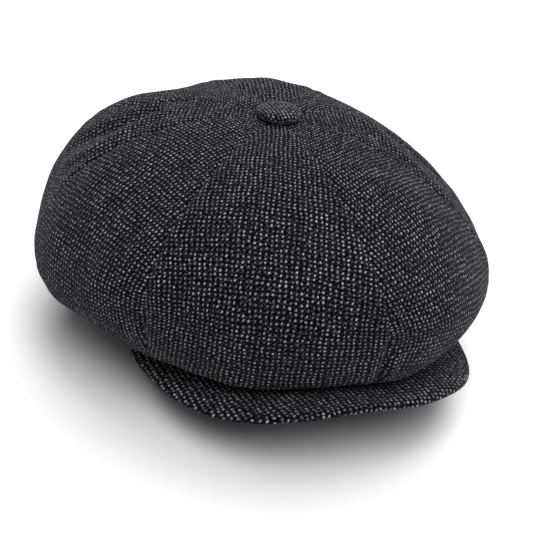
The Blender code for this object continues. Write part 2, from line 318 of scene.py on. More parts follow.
def first_turn(form, angle):
    """The turn at which a gore starts, at the button's post."""
    fine = np.linspace(0.001, 0.5, 400)
    line = dome_points(form, np.full_like(fine, angle), fine)
    radius = np.hypot(line[:, 0], line[:, 1] - APEX_Y)
    return float(np.interp(FIRST_ROW_RADIUS, radius, fine))


def normals_of(grid):
    """Unit normals of a grid, on the side where rows crossed with columns point."""
    along = np.gradient(grid, axis=0)
    across = np.gradient(grid, axis=1)
    normal = np.cross(along, across)
    return normal / np.maximum(np.linalg.norm(normal, axis=-1, keepdims=True), 1e-12)


def lengths_across(grid):
    """Distance of each point from the first of its row, along the row."""
    steps = np.linalg.norm(np.diff(grid, axis=1), axis=2)
    return np.concatenate([np.zeros((len(grid), 1)), np.cumsum(steps, axis=1)], axis=1)


def flattened(grid):
    """Flat coordinates in metres: each row becomes an arc that crosses the middle line squarely.

    The arc's curvature is the row's own on the surface, found from how fast the rows widen.
    """
    across = lengths_across(grid)
    width = across[:, -1]
    middle = grid.shape[1] // 2
    line = grid[:, middle]
    steps = np.linalg.norm(np.diff(line, axis=0), axis=1)
    down = np.concatenate([[0.0], np.cumsum(steps)]) + FIRST_ROW_RADIUS
    curvature = np.gradient(width, down) / np.maximum(width, 1e-6)
    kernel = np.hanning(13) / np.hanning(13).sum()
    curvature = np.convolve(np.pad(curvature, 6, mode="edge"), kernel, mode="valid")
    aside = across - across[:, middle : middle + 1]
    bend = curvature[:, None] * aside
    safe = np.where(np.abs(bend) < 1e-5, 1e-5, bend)
    u = aside * np.sin(safe) / safe
    v = down[:, None] - aside * (1 - np.cos(safe)) / safe
    return np.stack([u, v], axis=-1)


def soft_noise(points, wavelength, seed):
    """Smooth noise of about unit size over points in space: a sum of plane waves."""
    random = np.random.default_rng(seed)
    total = np.zeros(points.shape[:-1])
    for _ in range(12):
        direction = random.normal(size=3)
        direction /= np.linalg.norm(direction)
        pulse = 2 * math.pi / wavelength * random.uniform(0.7, 1.4)
        total += np.sin(points @ direction * pulse + random.uniform(0, 2 * math.pi))
    return total / math.sqrt(6)


# ---------------------------------------------------------------- meshes

def grid_faces(rows, columns, closed):
    """Corner numbers of a grid's quads; closed joins the last column to the first."""
    row, column = np.meshgrid(
        np.arange(rows - 1), np.arange(columns if closed else columns - 1), indexing="ij"
    )
    after = (column + 1) % columns
    corners = (
        row * columns + column, (row + 1) * columns + column,
        (row + 1) * columns + after, row * columns + after,
    )
    return np.stack([c.ravel() for c in corners], axis=1)


def border_of(rows, columns, closed):
    """Pairs of corner numbers round a grid's open borders, in the way that its faces leave them."""
    top = [(j, (j + 1) % columns) for j in range(columns if closed else columns - 1)]
    last = (rows - 1) * columns
    pairs = top + [(last + b, last + a) for a, b in top]
    if not closed:
        pairs += [((i + 1) * columns, i * columns) for i in range(rows - 1)]
        end = columns - 1
        pairs += [(i * columns + end, (i + 1) * columns + end) for i in range(rows - 1)]
    return np.array(pairs)


def add_shell(name, grid, flat, thickness, material, closed=False):
    """A sheet with a front, a back and edges. The grid is its front, and flat its UVs in metres."""
    rows, columns = grid.shape[:2]
    if closed:
        lapped = np.concatenate([grid[:, -1:], grid, grid[:, :1]], axis=1)
        normals = normals_of(lapped)[:, 1:-1]
    else:
        normals = normals_of(grid)
    front = grid.reshape(-1, 3)
    back = (grid - normals * thickness).reshape(-1, 3)
    count = len(front)
    quads = grid_faces(rows, columns, closed)
    pairs = border_of(rows, columns, closed)
    sides = np.stack([pairs[:, 0], pairs[:, 1], pairs[:, 1] + count, pairs[:, 0] + count], axis=1)
    faces = np.concatenate([quads, quads[:, ::-1] + count, sides])

    mesh = bpy.data.meshes.new(name)
    mesh.from_pydata(np.concatenate([front, back]).tolist(), [], faces.tolist())
    uv = np.concatenate([flat.reshape(-1, 2)] * 2)[faces.ravel()]
    layer = mesh.uv_layers.new(name="weave")
    layer.data.foreach_set("uv", uv.astype(np.float32).ravel())
    mesh.shade_smooth()
    mesh.materials.append(material)
    obj = bpy.data.objects.new(name, mesh)
    bpy.context.scene.collection.objects.link(obj)
    return obj


def grid_area(grid):
    a = grid[1:, 1:] - grid[:-1, :-1]
    b = grid[1:, :-1] - grid[:-1, 1:]
    return float(np.linalg.norm(np.cross(a, b), axis=-1).sum() / 2)


# ---------------------------------------------------------------- materials

class Graph:
    """A material's nodes, made by short calls that take and give sockets."""

    def __init__(self, name):
        self.material = bpy.data.materials.new(name)
        self.material.use_nodes = True
        self.tree = self.material.node_tree
        self.shader = self.tree.nodes["Principled BSDF"]

    def put(self, socket, value):
        if isinstance(value, bpy.types.NodeSocket):
            self.tree.links.new(value, socket)
        else:
            socket.default_value = value

    def node(self, kind, inputs=(), output=0, **settings):
        made = self.tree.nodes.new("ShaderNode" + kind)
        for key, value in settings.items():
            setattr(made, key, value)
        pairs = inputs.items() if isinstance(inputs, dict) else enumerate(inputs)
        for key, value in pairs:
            self.put(made.inputs[key], value)
        return made.outputs[output]

    def uv(self):
        return self.node("UVMap", uv_map="weave")

    def math(self, operation, *values):
        return self.node("Math", values, operation=operation)

    def vector(self, operation, *values):
        return self.node("VectorMath", values, operation=operation)

    def split(self, vector):
        made = self.tree.nodes.new("ShaderNodeSeparateXYZ")
        self.put(made.inputs[0], vector)
        return made.outputs

    def noise(self, vector, scale, detail=2.0, output=0):
        return self.node("TexNoise", {"Vector": vector, "Scale": scale, "Detail": detail}, output)

    def remap(self, value, low, high, to_low=0.0, to_high=1.0):
        return self.node(
            "MapRange", (value, low, high, to_low, to_high), interpolation_type="SMOOTHSTEP"
        )

    def mix(self, share, a, b):
        made = self.tree.nodes.new("ShaderNodeMix")
        made.data_type = "RGBA"
        for place, value in ((0, share), (6, a), (7, b)):
            self.put(made.inputs[place], value)
        return made.outputs[2]

    def bump(self, height, strength, distance):
        made = self.tree.nodes.new("ShaderNodeBump")
        made.inputs["Strength"].default_value = strength
        made.inputs["Distance"].default_value = distance
        self.put(made.inputs["Height"], height)
        self.put(self.shader.inputs["Normal"], made.outputs["Normal"])

    def finish(self, colour, roughness, **constants):
        self.put(self.shader.inputs["Base Color"], colour)
        self.put(self.shader.inputs["Roughness"], roughness)
        for key, value in constants.items():
            self.shader.inputs[key.replace("_", " ")].default_value = value
        return self.material


def threads(graph, uv, fine, long):
    """Fibre-like streaks both ways of the weave, 0 to 1; fine and long are their frequencies."""
    one = graph.noise(graph.vector("MULTIPLY", uv, (fine, long, 1.0)), 1.0, 2.0)
    other = graph.noise(graph.vector("MULTIPLY", uv, (long, fine, 1.0)), 1.0, 2.0)
    return graph.math("MAXIMUM", one, other)


def tweed(name, pitch, speck_size=1.0, sheen=0.065, painted_light_factor=1.0):
    """Nailhead tweed: pale specks in rows on a dark ground, each cell a little different. A
    painted_light_factor above 1 and a larger speck_size paint lighter copies that stand in for light.
    """
    g = Graph(name)
    uv = g.uv()
    slow = g.vector("SUBTRACT", g.noise(uv, 55.0, 1.0, output=1), (0.5, 0.5, 0.5))
    quick = g.vector("SUBTRACT", g.noise(uv, 380.0, 1.0, output=1), (0.5, 0.5, 0.5))
    cells = g.vector("MULTIPLY", uv, (1 / pitch, 1 / pitch, 0.0))
    cells = g.vector("MULTIPLY_ADD", slow, (0.9, 0.9, 0.0), cells)
    cells = g.vector("MULTIPLY_ADD", quick, (0.35, 0.35, 0.0), cells)
    whole = g.vector("FLOOR", cells)
    inside = g.vector("SUBTRACT", g.vector("SUBTRACT", cells, whole), (0.5, 0.5, 0.0))
    luck = g.node("TexWhiteNoise", (whole,), noise_dimensions="2D")
    nudge = g.node("TexWhiteNoise", (whole,), output=1, noise_dimensions="2D")
    nudge = g.vector("MULTIPLY", g.vector("SUBTRACT", nudge, (0.5, 0.5, 0.5)), (0.28, 0.28, 0.0))
    x, y, _ = g.split(g.vector("ADD", inside, nudge))
    slant = g.math("MULTIPLY_ADD", y, 0.15, x)
    # A speck_size above 1 gives bigger pale specks; on the visor and button copies that is painted light.
    wide = g.math("DIVIDE", slant, 0.20 * speck_size)
    tall = g.math("DIVIDE", y, 0.26 * speck_size)
    away = g.math("SQRT", g.math("ADD", g.math("POWER", wide, 2.0), g.math("POWER", tall, 2.0)))
    speck = g.remap(away, 1.3, 0.5)

    column, row, _ = g.split(whole)
    warp = g.node("TexWhiteNoise", {"W": column}, noise_dimensions="1D")
    weft = g.node("TexWhiteNoise", {"W": row}, noise_dimensions="1D")
    yarns = g.math("MULTIPLY_ADD", warp, 0.15, g.math("MULTIPLY_ADD", weft, 0.15, 0.85))
    patch = g.remap(g.noise(uv, 48.0, 2.0), 0.3, 0.7, 0.8, 1.2)
    bright = g.math("MULTIPLY_ADD", g.math("POWER", luck, 1.4), 0.72, 0.30)
    bright = g.math("MULTIPLY", g.math("MULTIPLY", bright, yarns), patch)

    waves = g.vector("SINE", g.vector("MULTIPLY", cells, (4 * math.pi, 4 * math.pi, 0.0)))
    wave_x, wave_y, _ = g.split(waves)
    over = g.math("ABSOLUTE", g.math("MULTIPLY", wave_x, wave_y))
    fibre = threads(g, uv, 3600.0, 900.0)
    fibre_light = g.remap(fibre, 0.42, 0.75, 0.55, 1.5)
    light = g.math("MULTIPLY", g.math("MULTIPLY", speck, bright), fibre_light)
    mottle = g.remap(g.noise(g.vector("MULTIPLY", uv, (820.0, 900.0, 1.0)), 1.0, 1.0), 0.46, 0.70)
    ground = g.math("MULTIPLY", g.math("MULTIPLY_ADD", over, 0.6, 0.4), mottle)
    ground = g.math("MULTIPLY", ground, fibre_light)

    dark = g.mix(ground, DARK_WOOL, GREY_WOOL)
    # A painted_light_factor above 1 paints the pale specks lighter, standing in for light.
    low, high = np.array(PALE_WOOL) * painted_light_factor, np.array(PALEST_WOOL) * painted_light_factor
    pale = g.mix(luck, (*low.tolist(), 1), (*high.tolist(), 1))
    height = g.math("MULTIPLY_ADD", speck, 0.5, g.math("MULTIPLY_ADD", fibre, 0.35, over))
    g.bump(height, 0.55, 0.00035)
    return g.finish(
        g.mix(light, dark, pale), 0.95, Sheen_Weight=sheen, Sheen_Roughness=0.35,
        Sheen_Tint=(0.80, 0.86, 0.95, 1.0), Specular_IOR_Level=0.03,
    )


def satin():
    """Dark twill lining with a soft gloss."""
    g = Graph("lining_twill")
    uv = g.uv()
    x, y, _ = g.split(g.vector("MULTIPLY", uv, (9000.0, 9000.0, 0.0)))
    twill = g.math("SINE", g.math("ADD", x, y))
    slub = g.noise(g.vector("MULTIPLY", uv, (2200.0, 130.0, 1.0)), 1.0, 3.0)
    height = g.math("MULTIPLY_ADD", slub, 1.2, twill)
    g.bump(height, 0.25, 0.00008)
    colour = g.mix(g.remap(slub, 0.3, 0.7), (0.012, 0.0125, 0.015, 1), (0.030, 0.031, 0.037, 1))
    return g.finish(
        colour, g.remap(slub, 0.3, 0.7, 0.36, 0.50), Sheen_Weight=0.15, Sheen_Roughness=0.3,
        Specular_IOR_Level=0.55,
    )


def ribbed_cotton():
    """The sweatband's ribbed black cotton."""
    g = Graph("sweatband_rib")
    uv = g.uv()
    pitches = (2 * math.pi / RIB_PITCH, 2 * math.pi / PICK_PITCH, 0.0)
    x, y, _ = g.split(g.vector("MULTIPLY", uv, pitches))
    ribs = g.math("ABSOLUTE", g.math("SINE", x))
    picks = g.math("SINE", y)
    fibre = threads(g, uv, 4200.0, 1100.0)
    height = g.math("MULTIPLY_ADD", picks, 0.2, g.math("MULTIPLY_ADD", fibre, 0.5, ribs))
    g.bump(height, 0.5, 0.00025)
    lit = g.math("MULTIPLY", ribs, fibre)
    colour = g.mix(lit, (0.006, 0.006, 0.007, 1), (0.040, 0.040, 0.044, 1))
    return g.finish(colour, 0.9, Sheen_Weight=0.15, Sheen_Roughness=0.5, Specular_IOR_Level=0.2)


def fibrous(name, low, high, frequency):
    """Felted fibre board or fusing: short fibres every way."""
    g = Graph(name)
    place = g.node("TexCoord", output=3)
    fibre = g.noise(place, frequency, 6.0)
    clumps = g.noise(place, frequency / 8, 3.0)
    both = g.math("MULTIPLY", fibre, g.remap(clumps, 0.3, 0.7, 0.8, 1.2))
    g.bump(both, 0.4, 0.0002)
    colour = g.mix(g.remap(both, 0.25, 0.75), low, high)
    return g.finish(colour, g.remap(clumps, 0.3, 0.7, 0.8, 0.95))


def loose_wool():
    """Loose wool, a little darker and lighter along its length."""
    g = Graph("loose_wool")
    place = g.node("TexCoord", output=3)
    shade = g.noise(place, 700.0, 2.0)
    g.bump(shade, 0.3, 0.00002)
    return g.finish(
        g.mix(shade, (0.10, 0.105, 0.115, 1), (0.42, 0.43, 0.45, 1)), 0.9, Specular_IOR_Level=0.1,
    )


def thread():
    """Sewing thread: two plies twisted together."""
    g = Graph("sewing_thread")
    uv = g.uv()
    x, y, _ = g.split(g.vector("MULTIPLY", uv, (6000.0, 6000.0, 0.0)))
    plies = g.math("ABSOLUTE", g.math("SINE", g.math("ADD", x, y)))
    g.bump(plies, 0.6, 0.0001)
    return g.finish(g.mix(plies, (0.010, 0.010, 0.012, 1), (0.060, 0.060, 0.066, 1)), 0.6)


def brushed_steel():
    g = Graph("pressed_steel")
    place = g.node("TexCoord", output=3)
    grain = g.noise(g.vector("MULTIPLY", place, (900.0, 900.0, 6000.0)), 1.0, 3.0)
    g.bump(grain, 0.15, 0.00005)
    colour = g.mix(grain, (0.50, 0.50, 0.51, 1), (0.68, 0.69, 0.70, 1))
    return g.finish(colour, g.remap(grain, 0.3, 0.7, 0.28, 0.42), Metallic=1.0)


def floor_paper():
    g = Graph("floor_paper")
    place = g.node("TexCoord", output=3)
    tooth = g.noise(place, 900.0, 3.0)
    g.bump(tooth, 0.05, 0.0002)
    colour = g.mix(g.noise(place, 3.0, 1.0), (0.84, 0.84, 0.84, 1), (0.86, 0.86, 0.86, 1))
    return g.finish(colour, 0.9, Specular_IOR_Level=0.2)


# ---------------------------------------------------------------- crown

# Places where the crown is fuller or slacker than the plain dome:
# angle in degrees, turn, spread in degrees, spread in turns, height
FULLNESS = (
    (-90.0, 1.38, 22.0, 0.26, 0.0046),
    (-103.0, 0.88, 16.0, 0.20, -0.0048),
    (-136.0, 0.70, 15.0, 0.20, 0.0028),
    (-167.0, 0.56, 12.0, 0.22, -0.0044),
    (180.0, 0.42, 12.0, 0.15, -0.0018),
    (154.0, 0.40, 18.0, 0.18, 0.0026),
    (134.0, 0.40, 14.0, 0.18, 0.0014),
    (-28.0, 1.62, 38.0, 0.28, 0.0060),
    (-74.0, 1.52, 9.0, 0.20, -0.0024),
    (6.0, 1.50, 16.0, 0.25, 0.0036),
    (56.0, 0.95, 16.0, 0.20, 0.0018),
    (80.0, 0.62, 9.0, 0.14, 0.0008),
)

# Soft folds: points of the fold as (degrees, turn), its width and its height. A fold dies away
# over this share of its length at each end.
FOLD_TAPER = 0.22
FOLDS = (
    (
        ((-110, 0.79), (-107, 0.68), (-103, 0.57), (-103, 0.50), (-108, 0.42), (-119, 0.33), (-128, 0.28)),
        0.0052, 0.0019,
    ),
    (((-119, 0.76), (-119, 0.62), (-117, 0.52), (-125, 0.42), (-136, 0.34)), 0.0064, -0.0036),
    (
        ((92, 0.28), (82, 0.30), (72, 0.34), (64, 0.40), (59, 0.50), (58, 0.60), (58, 0.71)),
        0.0048, 0.0017,
    ),
    (((88, 0.36), (78, 0.46), (74, 0.56), (74, 0.68)), 0.0068, -0.0028),
    (((-0.2, 0.98), (0.2, 1.50)), 0.0018, -0.0011),
    (((-3.4, 1.02), (-2.6, 1.46)), 0.0018, 0.0009),
    (((3.0, 1.08), (2.6, 1.46)), 0.0019, 0.0010),
    (((-6.5, 1.15), (-5.6, 1.50)), 0.0018, -0.0006),
    (((-54.0, 0.98), (-53.4, 1.45)), 0.0034, -0.0014),
    (((-49.0, 1.10), (-48.0, 1.50)), 0.0036, 0.0008),
)


def wrapped(degrees):
    return (degrees + 180.0) % 360.0 - 180.0


def fullness(angle, turn):
    degrees = np.degrees(angle)
    total = np.zeros_like(angle)
    for place, level, wide, tall, height in FULLNESS:
        aside = wrapped(degrees - place) / wide
        total += height * np.exp(-(aside**2) - ((turn - level) / tall) ** 2)
    return total


def distance_to_path(points, path):
    """Distance of each point from a line through the path's corners, and how far along it that is."""
    nearest = np.full(points.shape[:-1], np.inf)
    along = np.zeros(points.shape[:-1])
    for place, (a, b) in enumerate(zip(path[:-1], path[1:])):
        reach = b - a
        t = np.clip((points - a) @ reach / (reach @ reach), 0.0, 1.0)
        distance = np.linalg.norm(points - a - t[..., None] * reach, axis=-1)
        along = np.where(distance < nearest, (place + t) / (len(path) - 1), along)
        nearest = np.minimum(nearest, distance)
    return nearest, along


def folds_at(base):
    total = np.zeros(base.shape[:-1])
    for corners, width, height in FOLDS:
        degrees, turns = np.array(corners, float).T
        fine = np.linspace(0, len(corners) - 1, 25)
        place = np.arange(len(corners))
        degrees, turns = np.interp(fine, place, degrees), np.interp(fine, place, turns)
        path = dome_points(CROWN_FORM, np.radians(degrees), turns)
        distance, along = distance_to_path(base, path)
        ends = smoothstep(0.0, FOLD_TAPER, along) * smoothstep(1.0, 1.0 - FOLD_TAPER, along)
        total += height * ends * np.exp(-((distance / width) ** 2))
    return total


def groove_at(degrees):
    return SEAM_GROOVES[round(abs(float(degrees)), 1)]


def crown_relief(base, angle, turn, share, puff, grooves):
    """How far the cloth stands out from the plain dome."""
    across = lengths_across(base)
    width = across[:, -1:]
    seam = np.minimum(across, width - across)
    groove = np.where(across < width / 2, grooves[0], grooves[1])
    bulge = 1 - (2 * share - 1) ** 2
    relief = puff * bulge * np.sin(np.minimum(turn, 2.0) * math.pi / 2)
    room = smoothstep(0.010, 0.040, width)
    groove = groove * (0.35 + 0.65 * room) * (1 + 0.9 * smoothstep(0.6, 1.1, turn))
    relief = relief - groove * np.exp(-((seam / SEAM_GROOVE_WIDTH) ** 2))
    ridge = np.exp(-(((seam - SEAM_RIDGE_PLACE) / SEAM_RIDGE_WIDTH) ** 2))
    relief = relief + SEAM_RIDGE * room * ridge
    for height, wavelength, seed in CROWN_UNEVENNESS:
        relief = relief + height * soft_noise(base, wavelength, seed)
    waves = np.sin(angle * WAVES + 1.5 * soft_noise(base, WAVE_NOISE, 8))
    relief = relief + WAVE_HEIGHT * waves * smoothstep(1.25, 1.6, turn)
    relief = relief + fullness(angle, turn) + folds_at(base)
    radius = np.hypot(base[..., 0], base[..., 1] - APEX_Y)
    ring = np.exp(-(((radius - BUTTON_RING_RADIUS) / BUTTON_RING_WIDTH) ** 2))
    relief = relief - BUTTON_RING_DEPTH * ring
    ends = smoothstep(2.0, 1.8, turn) * smoothstep(0.003, 0.010, radius)
    return relief * ends


def eased_shares(count):
    """Shares from 0 to 1 that lie closer together near both ends."""
    even = np.linspace(0.0, 1.0, count)
    return 0.35 * even + 0.65 * (0.5 - 0.5 * np.cos(math.pi * even))


def gore_angles(form, near, far, turns, shares):
    """Angles over a gore, which laps its neighbours by a hair's breadth at each seam."""
    middle = np.full_like(turns, (near + far) / 2)
    line = dome_points(form, middle, turns)
    radius = np.hypot(line[:, 0], line[:, 1] - APEX_Y)
    lap = (SEAM_LAP / radius)[:, None]
    return near - lap + (far - near + 2 * lap) * shares[None, :]


def crown_gore(near, far, puff):
    """Grid of one crown gore, from the button down to the hem and up inside it."""
    middle = (near + far) / 2
    start = first_turn(CROWN_FORM, middle)
    top = even_turns(CROWN_FORM, middle, start, 1.0, CROWN_TOP_ROWS)
    under = even_turns(CROWN_FORM, middle, 1.0, 2.0, CROWN_UNDER_ROWS)[1:]
    turns = np.concatenate([top, under])
    shares = eased_shares(CROWN_COLUMNS)
    angle = gore_angles(CROWN_FORM, near, far, turns, shares)
    turn = np.repeat(turns[:, None], len(shares), axis=1)
    base = dome_points(CROWN_FORM, angle, turn)
    grooves = groove_at(math.degrees(near)), groove_at(math.degrees(far))
    relief = crown_relief(base, angle, turn, shares[None, :], puff, grooves)
    skin = base + normals_of(base) * relief[..., None]

    edge = angle[-1]
    hem = []
    for step in range(1, HEM_WALL_ROWS + 1):
        height = hem_height(edge) + HEM_WALL + (HEM_ROLL - HEM_WALL) * step / HEM_WALL_ROWS
        hem.append(oval(edge, HEM_OUTSIDE, height))
    for step in range(1, HEM_ROLL_ROWS + 1):
        bend = math.pi * step / HEM_ROLL_ROWS
        offset = HEM_OUTSIDE - HEM_ROLL + HEM_ROLL * math.cos(bend)
        hem.append(oval(edge, offset, hem_height(edge) + HEM_ROLL * (1 - math.sin(bend))))
    for step in range(1, HEM_TURNED_ROWS + 1):
        height = hem_height(edge) + HEM_ROLL + (HEM_TURNED_IN - HEM_ROLL) * step / HEM_TURNED_ROWS
        hem.append(oval(edge, HEM_OUTSIDE - 2 * HEM_ROLL, height))
    grid = np.concatenate([skin, np.stack(hem)])
    foot = len(turns) - 1
    for _ in range(3):
        rows = slice(foot - 4, foot + 4)
        before, after = slice(foot - 5, foot + 3), slice(foot - 3, foot + 5)
        grid[rows] = (grid[before] + 2 * grid[rows] + grid[after]) / 4
    if abs(middle) < math.radians(REST_SWEEP):
        rest_on_visor(grid, len(top) + 5, foot - 2)
    return grid


def rest_on_visor(grid, first, last):
    """Lifts the rows of a crown gore that would otherwise sink into the visor."""
    visor = visor_top_grid()
    flat = visor.reshape(-1, 3)
    tree = KDTree(len(flat))
    for i, (x, y, _) in enumerate(flat):
        tree.insert((x, y, 0.0), i)
    tree.balance()
    clear = CLOTH + REST_GAP
    lift = np.zeros(grid.shape[:2])
    for row in range(first, last):
        for column in range(grid.shape[1]):
            x, y, z = grid[row, column]
            found = tree.find_n((x, y, 0.0), REST_NEIGHBOURS)
            if found[0][2] < REST_REACH:
                height = np.mean([flat[index][2] for _, index, _ in found])
                lift[row, column] = max(height + clear - z, 0.0)
    kernel = np.array([0.25, 0.5, 0.25])
    for _ in range(2):
        lift = np.apply_along_axis(np.convolve, 0, lift, kernel, "same")
        inner = np.apply_along_axis(np.convolve, 1, lift, kernel, "same")
        lift[:, 1:-1] = inner[:, 1:-1]
    grid[..., 2] += lift


def lining_gore(near, far, puff):
    """Grid of one lining gore, from the button down to the top of the sweatband."""
    middle = (near + far) / 2
    start = first_turn(LINING_FORM, middle)
    top = even_turns(LINING_FORM, middle, start, 1.0, LINING_TOP_ROWS)
    under = even_turns(LINING_FORM, middle, 1.0, 2.0, LINING_UNDER_ROWS)[1:]
    turns = np.concatenate([top, under])
    shares = eased_shares(LINING_COLUMNS)
    angle = gore_angles(LINING_FORM, near, far, turns, shares)
    turn = np.repeat(turns[:, None], len(shares), axis=1)
    base = dome_points(LINING_FORM, angle, turn)
    across = lengths_across(base)
    seam = np.minimum(across, across[:, -1:] - across)
    relief = np.zeros(base.shape[:-1])
    for height, wavelength, seed in LINING_UNEVENNESS:
        relief = relief + height * soft_noise(base, wavelength, seed)
    relief = relief + LINING_PUFF * puff * (1 - (2 * shares - 1) ** 2)
    relief = relief * smoothstep(2.0, 1.7, turn) - 0.0006 * np.exp(-((seam / 0.0012) ** 2))
    return base + normals_of(base) * relief[..., None]


def gathered(flat, grid):
    """The flat shape with the weave drawn a little closer towards the button."""
    middle = grid.shape[1] // 2
    radius = np.hypot(grid[:, middle, 0], grid[:, middle, 1] - APEX_Y)
    along = flat[:, middle, 1]
    closer = 1 + WEAVE_GATHER * (1 - smoothstep(GATHER_INNER, GATHER_OUTER, radius))
    closer = np.where(np.arange(len(radius)) > radius.argmax(), 1.0, closer)
    steps = (closer[1:] + closer[:-1]) / 2 * np.diff(along)
    moved = along[0] + np.concatenate([[0.0], np.cumsum(steps)])
    rows = np.interp(flat[..., 1], along, moved)
    across = flat[..., 0] * np.interp(flat[..., 1], along, closer)
    return np.stack([across, rows], axis=-1)


def add_gores(prefix, make, thickness, material):
    """Eight gores; returns each one's grid."""
    grids = []
    for place, near, far, puff in GORES:
        for hand, left, right in (("left", near, far), ("right", -far, -near)):
            grid = make(math.radians(left), math.radians(right), puff)
            flat = flattened(grid)
            name = f"{prefix}_{place}_{hand}"
            weave = gathered(flat, grid) + np.array([left, right]) * WEAVE_PHASE
            obj = add_shell(name + "_cloth", grid, weave, thickness, material)
            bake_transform(obj)
            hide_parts(name)
            grids.append(grid)
    return grids


# ---------------------------------------------------------------- lint

def fibre_path(random, start, normal, length, lift):
    """A loose curl of wool that lies against the cloth and stands off it in the middle."""
    side = np.cross(normal, random.normal(size=3))
    side /= np.linalg.norm(side)
    ahead = np.cross(normal, side)
    points = [np.zeros(2)]
    heading, bend = 0.0, random.normal() * FIBRE_BEND
    for _ in range(FIBRE_STEPS):
        heading += bend + random.normal() * FIBRE_WANDER
        step = np.array([math.cos(heading), math.sin(heading)]) * length / FIBRE_STEPS
        points.append(points[-1] + step)
    flat = np.array(points) - np.mean(points, axis=0)
    rise = np.sin(np.linspace(0, math.pi, FIBRE_STEPS + 1)) * lift
    rise = rise + random.uniform(-FIBRE_SINK, FIBRE_FLOAT)
    return start + flat[:, :1] * side + flat[:, 1:] * ahead + rise[:, None] * normal


def add_tubes(name, paths, ups, radius, material):
    """Thin three-sided tubes along paths, tapered towards both ends."""
    corners, faces = [], []
    for path, up in zip(paths, ups):
        rings = len(path)
        ahead = np.gradient(path, axis=0)
        side = np.cross(ahead, up)
        side /= np.linalg.norm(side, axis=1, keepdims=True)
        top = np.cross(side, ahead)
        top /= np.linalg.norm(top, axis=1, keepdims=True)
        taper = radius * (0.35 + 0.65 * np.sin(np.linspace(0.15, math.pi - 0.15, rings)))[:, None]
        ring = [path + taper * (math.cos(a) * top + math.sin(a) * side) for a in TUBE_CORNERS]
        first = sum(len(block) for block in corners)
        corners.append(np.stack(ring, axis=1).reshape(-1, 3))
        for i in range(rings - 1):
            for j in range(3):
                a, b = first + i * 3 + j, first + i * 3 + (j + 1) % 3
                faces.append((a, b, b + 3, a + 3))
        last = first + (rings - 1) * 3
        faces += [(first + 2, first + 1, first), (last, last + 1, last + 2)]
    mesh = bpy.data.meshes.new(name)
    mesh.from_pydata(np.concatenate(corners).tolist(), [], faces)
    mesh.shade_smooth()
    mesh.materials.append(material)
    obj = bpy.data.objects.new(name, mesh)
    bpy.context.scene.collection.objects.link(obj)
    return obj


def add_lint(name, surfaces, count, length, lift, radius, seed, material):
    """Stray wool fibres scattered over the grids."""
    random = np.random.default_rng(seed)
    weights = np.array([grid_area(grid) for grid, _ in surfaces])
    paths, ups = [], []
    for place in random.choice(len(surfaces), size=count, p=weights / weights.sum()):
        grid, normals = surfaces[place]
        row, column = random.integers(12, len(grid)), random.integers(2, grid.shape[1] - 2)
        normal = normals[row, column]
        long = length * random.uniform(0.5, 1.4)
        high = lift * random.uniform(0.2, 1.5)
        paths.append(fibre_path(random, grid[row, column], normal, long, high))
        ups.append(normal)
    return add_tubes(name, paths, ups, radius, material)


def add_stitches(name, line, ups, thickness, material):
    """A row of stitches along a closed line, each one dipping into the cloth at its ends."""
    steps = np.linalg.norm(np.diff(line, axis=0), axis=1)
    reached = np.concatenate([[0.0], np.cumsum(steps)])
    count = int(reached[-1] / STITCH_PITCH)
    paths, sides = [], []
    for i in range(count):
        places = (i + np.linspace(*STITCH_SPAN, STITCH_POINTS)) * STITCH_PITCH
        path = np.stack([np.interp(places, reached, line[:, k]) for k in range(3)], axis=1)
        up = np.array([np.interp(places[STITCH_POINTS // 2], reached, ups[:, k]) for k in range(3)])
        up /= np.linalg.norm(up)
        rise = thickness * (1.3 * np.sin(np.linspace(0, math.pi, STITCH_POINTS)) - 0.5)
        paths.append(path + rise[:, None] * up)
        sides.append(up)
    return add_tubes(name, paths, sides, thickness, material)


# ---------------------------------------------------------------- bands

def band_grid(outside, low, high, rows, belly):
    """A strip stood on edge round the opening; belly is how far its middle leans inwards."""
    angle = np.linspace(-math.pi + BAND_CUT, math.pi - BAND_CUT, BAND_COLUMNS)
    lines = []
    for share in np.linspace(0.0, 1.0, rows):
        lean = belly * math.sin(math.pi * share)
        height = hem_height(angle) + low
        lines.append(oval(angle, outside - lean, height + (high - height) * (1 - share)))
    return np.stack(lines)


def add_band(name, node, grid, thickness, material):
    around = lengths_across(grid)
    flat = np.stack([around, grid[..., 2]], axis=-1)
    obj = add_shell(name, grid, flat, thickness, material)
    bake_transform(obj)
    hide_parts(node)


def add_bands(materials):
    """The sweatband, its two rows of stitches, and the stiffening strip behind it."""
    sweatband = band_grid(SWEATBAND, 0.0, SWEATBAND_HEIGHT, SWEATBAND_ROWS, SWEATBAND_BELLY)
    add_band(
        "sweatband_cloth", "sweatband", sweatband, SWEATBAND, materials["cotton"],
    )
    outside = INTERLINING_OUTSIDE - INTERLINING_INSET
    strip = band_grid(outside, INTERLINING_LOW, INTERLINING_HEIGHT, INTERLINING_ROWS, 0.0)
    add_band(
        "interlining_strip", "band_interlining", strip, INTERLINING, materials["fusing"],
    )
    outwards = normals_of(sweatband)
    inside = sweatband - outwards * SWEATBAND
    for name, row in SWEATBAND_STITCHED_ROWS:
        stitches = add_stitches(
            name, inside[row], -outwards[row], STITCH_THICKNESS, materials["thread"],
        )
        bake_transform(stitches)


# ---------------------------------------------------------------- visor

def visor_droop(share, depth):
    """How far the worn visor has sunk: it is a little lower near its middle and towards both ends."""
    sunk = sum(low * np.exp(-(((share - place) / wide) ** 2)) for low, place, wide in VISOR_DROOP)
    return sunk * depth**2


